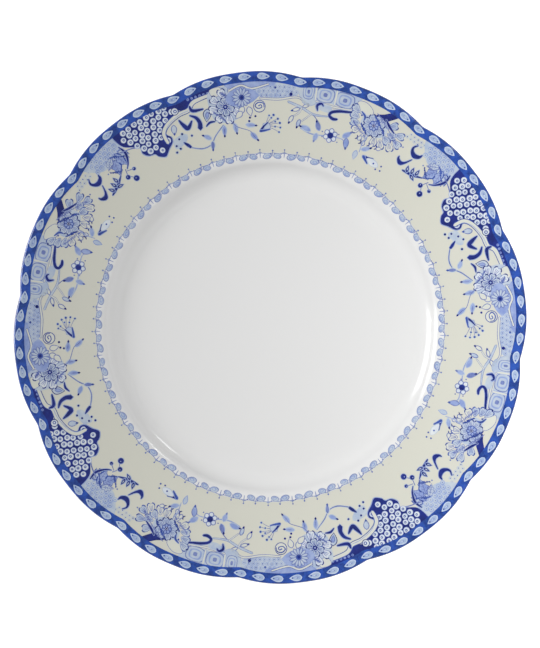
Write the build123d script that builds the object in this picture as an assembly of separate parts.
from build123d import *
import math
import os

# A scalloped china dinner plate, face up. The origin is the centre of the foot ring's resting
# plane and +Z points out of the face. All sizes are in millimetres and all angles in degrees.

# Driving dimensions of the plate
plate_radius = 136.5        # axis to the crown of a lobe
lobe_count = 12
first_crown = 7.75          # direction of one lobe's crown, anticlockwise from +X
crown_half_angle = 3.0      # each crown is an arc about the plate's axis this far each way
shoulder_radius = 72.4      # the arcs that carry a crown down into its notches
notch_round = 5.0           # inside radius where two lobes meet
wall_thickness = 4.2        # finished wall, with its glaze
well_height = 7.5           # finished face of the well above the table
well_radius = 79.0          # where the flat well ends
verge_hollow = 11.0         # radius of the hollow curve that leaves the well
verge_shoulder = 7.3        # radius of the rounded curve that meets the rim
verge_steepness = 50.0      # steepest slope of the verge
rim_slope = 13.0
lip_round = 1.1             # rounding of the lip's upper and lower edge

# Driving dimensions of the foot ring
foot_inner_radius = 75.5
foot_outer_radius = 78.5
foot_inner_draft = 1.5      # how far each side leans out between the table and the wall
foot_outer_draft = 3.0
foot_bare_height = 0.9      # the glaze is wiped off below this height

# Driving dimensions of the coats
glaze_thickness = 0.3
film_thickness = 0.12       # one layer of fired colour

# Driving dimensions of the decoration
edge_band_width = 5.5
edge_leaf_count = 84
edge_leaf_first = 1.56      # direction of one edge leaf, anticlockwise from +X
edge_leaf_inset = 2.95      # lip to the middle of a leaf
edge_leaf_length = 6.4
edge_leaf_width = 2.9
ground_inner_radius = 93.6
lace_radius = 91.8
lace_pair_count = 45
lace_first_pair = 1.3       # direction of one pair of loops, anticlockwise from +X
lace_loop_spacing = 3.35    # angle between the two loops of a pair
lace_loop_length = 4.6
lace_loop_width = 3.0
lace_line_width = 0.7

# Worked-out values
foot_mean_radius = (foot_inner_radius + foot_outer_radius) / 2
lobe_angle = 360.0 / lobe_count
hollow_centre = (well_radius, well_height + verge_hollow)
reach = plate_radius + 5.0  # turned sections run out to here before the outline is cut
tall = 40.0                 # height of every cutting prism
lip_zone = plate_radius - 2 * edge_band_width   # every edge of the lip lies outside this radius
print_inner_radius = lace_radius - lace_loop_width  # no colour on the face lies inside this radius
quarter_count = 4           # the border is applied as this many equal sheets
leaf_fullness = 0.8         # a leaf's width an eighth of its length past the middle, over its heel's
notch_window = 1.0          # an edge this close to a notch's direction stands in it
join_overlap = 1.0          # the foot and the base glaze run this far into the wall to be joined


def polar(radius, angle):
    """The point at this radius and angle in the XY plane."""
    turn = math.radians(angle)
    return (radius * math.cos(turn), radius * math.sin(turn))


def lip_radius(angle, inset):
    """The outline's radius in this direction, moved in from the lip by inset."""
    from_crown = abs((angle - first_crown + lobe_angle / 2) % lobe_angle - lobe_angle / 2)
    if from_crown <= crown_half_angle:
        return plate_radius - inset
    offset = plate_radius - shoulder_radius
    side = math.radians(from_crown - crown_half_angle)
    half_chord = math.sqrt((shoulder_radius - inset) ** 2 - (offset * math.sin(side)) ** 2)
    return offset * math.cos(side) + half_chord


def outline(inset):
    """The scalloped outline, moved in from the lip by inset, with sharp notches."""
    arcs = []
    for lobe in range(lobe_count):
        crown = first_crown + lobe * lobe_angle
        start = polar(lip_radius(crown - lobe_angle / 2, inset), crown - lobe_angle / 2)
        crown_start = polar(plate_radius - inset, crown - crown_half_angle)
        crown_middle = polar(plate_radius - inset, crown)
        crown_end = polar(plate_radius - inset, crown + crown_half_angle)
        end = polar(lip_radius(crown + lobe_angle / 2, inset), crown + lobe_angle / 2)
        arcs.append(RadiusArc(start, crown_start, -(shoulder_radius - inset)))
        arcs.append(ThreePointArc(crown_start, crown_middle, crown_end))
        arcs.append(RadiusArc(crown_end, end, -(shoulder_radius - inset)))
    return make_face(Wire(arcs))


def outline_prism(inset):
    """A tall prism of the outline, with its notches rounded."""
    prism = extrude(outline(inset), tall)
    corners = [edge for edge in prism.edges().filter_by(Axis.Z) if is_notch(edge)]
    return fillet(corners, notch_round + inset)


def is_notch(edge):
    """Whether a vertical edge stands in a notch between two lobes."""
    middle = edge.center()
    angle = math.degrees(math.atan2(middle.Y, middle.X))
    from_crown = (angle - first_crown) % lobe_angle
    return abs(from_crown - lobe_angle / 2) < notch_window


def wall_line(depth):
    """The face's profile in the XZ plane, depth below the finished face, from axis to rim."""
    steep = math.radians(verge_steepness)
    slope = math.radians(rim_slope)
    hollow = verge_hollow + depth
    shoulder = verge_shoulder - depth
    cx, cz = hollow_centre
    sx = cx + (verge_hollow + verge_shoulder) * math.sin(steep)
    sz = cz - (verge_hollow + verge_shoulder) * math.cos(steep)
    well_end = (well_radius, well_height - depth)
    hollow_middle = (cx + hollow * math.sin(steep / 2), cz - hollow * math.cos(steep / 2))
    bend = (cx + hollow * math.sin(steep), cz - hollow * math.cos(steep))
    between = (steep + slope) / 2
    shoulder_middle = (sx - shoulder * math.sin(between), sz + shoulder * math.cos(between))
    rim_start = (sx - shoulder * math.sin(slope), sz + shoulder * math.cos(slope))
    rim_end = (reach, rim_start[1] + (reach - rim_start[0]) * math.tan(slope))
    return [
        Line((0, well_height - depth), well_end),
        ThreePointArc(well_end, hollow_middle, bend),
        ThreePointArc(bend, shoulder_middle, rim_start),
        Line(rim_start, rim_end),
    ]


def turned_layer(top, bottom):
    """The solid of revolution between two depths below the finished face."""
    upper = wall_line(top)
    lower = wall_line(bottom)
    outer = Line(upper[-1] @ 1, lower[-1] @ 1)
    inner = Line(upper[0] @ 0, lower[0] @ 0)
    section = make_face(Wire(upper + [outer] + lower + [inner]))
    return revolve(Plane.XZ * section, Axis.Z)


def foot_ring(inset, bottom):
    """The foot ring down to bottom, with its leaning sides moved in by inset."""
    rise = well_height - wall_thickness
    top = rise + join_overlap
    inner_top = foot_inner_radius - foot_inner_draft * top / rise + inset
    outer_top = foot_outer_radius + foot_outer_draft * top / rise - inset
    inner_low = foot_inner_radius - foot_inner_draft * bottom / rise + inset
    outer_low = foot_outer_radius + foot_outer_draft * bottom / rise - inset
    corners = [(inner_low, bottom), (outer_low, bottom), (outer_top, top), (inner_top, top)]
    return revolve(Plane.XZ * make_face(Polyline(*corners, close=True)), Axis.Z)


def plate_blank(inset):
    """The plate without its foot, with every face moved in by inset."""
    blank = turned_layer(inset, wall_thickness - inset) & outline_prism(inset)
    rim_edges = [edge for edge in blank.edges() if is_lip(edge)]
    return fillet(rim_edges, lip_round - inset)


def is_lip(edge):
    """Whether an edge runs along the lip."""
    middle = edge @ 0.5
    drop = abs((edge @ 0).Z - (edge @ 1).Z)
    return math.hypot(middle.X, middle.Y) > lip_zone and drop < wall_thickness / 4


def rim_layer(number):
    """One layer of colour over the rim's face; layer 0 lies on the glaze."""
    low = -film_thickness * number
    return turned_layer(low - film_thickness, low) - Cylinder(print_inner_radius, 3 * tall)


def lip_layer():
    """A layer of colour that wraps the lip, down to the middle of its edge."""
    skin = plate_blank(-film_thickness) - plate_blank(0)
    rim_end = wall_line(0)[-1] @ 1
    lip_height = rim_end.Y - (reach - plate_radius) * math.tan(math.radians(rim_slope))
    above = Pos(0, 0, lip_height - wall_thickness / 2 + tall / 2) * Box(4 * reach, 4 * reach, tall)
    return skin & above


def placed(shape, angle, radius, turn=0.0):
    """A flat shape moved out to this angle and radius, its own Y pointing away from the axis."""
    return Rot(0, 0, angle - 90) * Pos(0, radius, 0) * Rot(0, 0, turn) * shape


def leaf_shape(length, width):
    """A leaf along X with a point at its +X end and a round heel at the other."""
    heel = width / 2
    tip = (length / 2, 0)
    back = -length / 2 + heel
    belly = (length / 8, heel * leaf_fullness)
    upper = ThreePointArc((back, heel), belly, tip)
    lower = ThreePointArc(tip, (belly[0], -belly[1]), (back, -heel))
    return make_face(Wire([upper, lower, ThreePointArc((back, -heel), (-length / 2, 0), (back, heel))]))


def stroke(points, width):
    """A brush stroke through polar points (angle, radius), round at both ends."""
    path = Spline(*[polar(radius, angle) for angle, radius in points])
    return trace(path, width)


def rosette(petals, middle, length, width):
    """Petals around an open centre of radius middle."""
    shape = Sketch()
    for number in range(petals):
        turn = 360.0 / petals * number
        shape += Rot(0, 0, turn) * Pos(middle + length / 2, 0) * Ellipse(length / 2, width / 2)
    return shape


def prism(shape):
    """A flat shape as a tall prism."""
    return extrude(shape, tall, dir=(0, 0, 1))


def edge_leaves():
    """The pale leaves that chase each other round the lip, in line with it."""
    shape = Sketch()
    for number in range(edge_leaf_count):
        angle = edge_leaf_first + 360.0 / edge_leaf_count * number
        near = polar(lip_radius(angle - 1, 0), -1)
        far = polar(lip_radius(angle + 1, 0), 1)
        tilt = math.degrees(math.atan2(near[0] - far[0], far[1] - near[1]))
        radius = lip_radius(angle, 0) - edge_leaf_inset
        shape += placed(leaf_shape(edge_leaf_length, edge_leaf_width), angle, radius, tilt)
    return shape


def lace_loops():
    """The inner chain: pairs of oval drops hung from one thin line."""
    loop = Ellipse(lace_loop_length / 2, lace_loop_width / 2)
    line_radius = lace_radius + lace_loop_width / 2
    shape = Circle(line_radius) - Circle(line_radius - lace_line_width)
    for number in range(lace_pair_count):
        middle = lace_first_pair + 360.0 / lace_pair_count * number
        shape += placed(loop, middle - lace_loop_spacing / 2, lace_radius)
        shape += placed(loop, middle + lace_loop_spacing / 2, lace_radius)
    return shape


def peony():
    """The open flower, its stalk and its two buds."""
    shape = placed(rosette(6, 1.6, 3.8, 3.2) + rosette(8, 6.4, 3.4, 4.2), 63.0, 121.0)
    shape += placed(Circle(1.1), 63.0, 121.0)
    shape += stroke([(63.0, 113.5), (63.3, 109.0), (62.6, 104.5)], 0.7)
    shape += placed(leaf_shape(7.0, 2.6), 61.6, 108.6, 60)
    shape += placed(rosette(3, 0.4, 3.4, 1.8), 58.4, 103.4, 90)
    return shape


def star_sprig():
    """The small six-petalled flower with its leaves, its hooked tendril and its seeds."""
    shape = placed(rosette(6, 1.6, 2.2, 1.7) + Circle(1.1), 72.6, 107.3)
    for angle, radius, turn in ((80.1, 107.5, 150), (76.5, 110.6, 120), (76.8, 104.2, 230)):
        shape += placed(leaf_shape(5.0, 2.0), angle, radius, turn)
    for angle, radius, turn in ((68.3, 110.9, 40), (67.7, 105.6, -50)):
        shape += placed(leaf_shape(5.0, 2.2), angle, radius, turn)
    shape += stroke([(68.6, 123.6), (73.4, 119.2), (73.9, 117.4), (71.6, 116.8)], 0.9)
    for angle, radius in ((88.6, 113.1), (87.8, 111.0), (87.2, 108.8), (87.3, 106.4), (87.6, 103.2)):
        shape += placed(Circle(0.6), angle, radius)
    return shape


def honeycomb():
    """Three cells under the edge band, beside a hooked tendril."""
    shape = Sketch()
    for angle in (79.4, 76.8, 74.2):
        shape += placed(RegularPolygon(2.6, 6) - RegularPolygon(1.8, 6), angle, 127.0)
    shape += stroke([(76.4, 123.2), (78.2, 121.6), (77.2, 118.8)], 0.9)
    return shape


def comma_strokes():
    """The two heavy commas and the barbed leaf below them."""
    shape = stroke([(51.8, 123.6), (50.4, 119.0), (49.2, 120.6)], 1.2)
    shape += placed(Circle(1.4), 49.2, 121.0)
    shape += stroke([(51.3, 117.6), (51.4, 113.6), (52.4, 111.6)], 1.0)
    shape += placed(Circle(1.2), 52.6, 111.2)
    shape += placed(leaf_shape(7.4, 4.2), 47.8, 115.4, -10)
    return shape


def vine():
    """The vine's drooping leaf and its three loose berries."""
    shape = placed(leaf_shape(9.5, 5.6), 43.2, 121.0, -80)
    for angle, radius, size in ((43.5, 110.2, 1.1), (41.8, 107.0, 1.4), (40.4, 111.6, 0.9)):
        shape += placed(Circle(size), angle, radius)
    return shape


def grape_bunch():
    """Berries in rows that narrow away from the edge band."""
    shape = Sketch()
    for row, count in enumerate((7, 6, 5, 4, 3, 2, 1)):
        radius = 126.4 - 2.9 * row
        for number in range(count):
            step = number - (count - 1) / 2
            shape += placed(Circle(1.35), 31.6 + 1.6 * step - 0.3 * row, radius)
    return shape


def scroll_ribbon():
    """The wavy ribbon, the brush strokes of its leaf and the bud on its arching stalk."""
    shape = stroke([(28.2, 113.2), (27.2, 119.4), (22.8, 122.8), (19.4, 126.4), (15.8, 127.4)], 1.8)
    shape += stroke([(22.8, 118.4), (22.2, 114.8), (20.9, 117.0)], 0.9)
    shape += stroke([(19.9, 119.6), (18.9, 116.2), (19.2, 112.6)], 1.0)
    shape += placed(leaf_shape(5.4, 1.6), 24.2, 106.8, -60)
    shape += stroke([(22.8, 104.4), (20.4, 102.2), (17.8, 103.0), (14.6, 109.0)], 0.7)
    shape += placed(leaf_shape(4.6, 2.2), 19.4, 107.2, 130)
    return shape


def shell_and_volute():
    """The petal cluster, the ribbed shell and the rolled volute beside it."""
    shape = placed(rosette(6, 1.5, 4.2, 3.4) + Circle(1.0), 12.6, 119.2)
    shape += placed(rosette(9, 1.5, 3.2, 1.4) + Circle(0.9), 6.6, 123.6)
    shape += placed(Circle(2.9) - Circle(2.0), 3.0, 117.6)
    shape += placed(Circle(1.0), 3.0, 117.6)
    shape += placed(leaf_shape(5.4, 2.6), 7.2, 115.6, 200)
    for angle, radius, turn in ((13.4, 107.4, 250), (9.8, 107.6, 280), (5.4, 108.2, 170), (4.6, 102.4, 190)):
        shape += placed(leaf_shape(5.2, 2.1), angle, radius, turn)
    return shape


def border_quarter():
    """One transfer's drawing, for the quarter that starts at +X."""
    shape = peony() + star_sprig() + honeycomb() + comma_strokes()
    shape += vine() + grape_bunch() + scroll_ribbon() + shell_and_volute()
    return shape


# The fired body, with its foot standing bare on the table
finished = plate_blank(0) + foot_ring(0, 0.0)
below_line = Pos(0, 0, foot_bare_height / 2) * Box(4 * reach, 4 * reach, foot_bare_height)
bare_foot = foot_ring(0, 0.0) & below_line
body = plate_blank(glaze_thickness) + foot_ring(glaze_thickness, 0.0) + bare_foot

# The glaze, in its two separate skins
glaze = finished - body
inside_foot = Cylinder(foot_mean_radius, 2 * well_height)
inside_foot -= turned_layer(-join_overlap, wall_thickness / 2)
base_glaze = glaze & inside_foot
glaze_coat = glaze - inside_foot

# The enamel edge and the pale leaves set into it
outside = Circle(reach)
lip_colour = lip_layer()
leaves = lip_colour & prism(edge_leaves())
band = lip_colour & prism(outside - outline(edge_band_width)) - prism(edge_leaves())

# The cream ground, the lace chain inside it and the printed border on top of it
first_layer = rim_layer(0)
ground = first_layer & prism(outline(edge_band_width) - Circle(ground_inner_radius))
lace = first_layer & prism(lace_loops())
second_layer = rim_layer(1)
border = second_layer & prism(border_quarter())

nodes = {
    "porcelain_body": body,
    "glaze_coat": glaze_coat,
    "base_glaze": base_glaze,
    "edge_band": band,
    "edge_leaves": leaves,
    "rim_ground": ground,
    "lace_ring": lace,
}
for quarter in range(quarter_count):
    turn = 360.0 / quarter_count * quarter
    nodes[f"border_transfer_{quarter + 1}"] = Rot(0, 0, turn) * border

os.makedirs("parts", exist_ok=True)
for name, solid in nodes.items():
    export_step(solid, f"parts/{name}.step", write_pcurves=False)
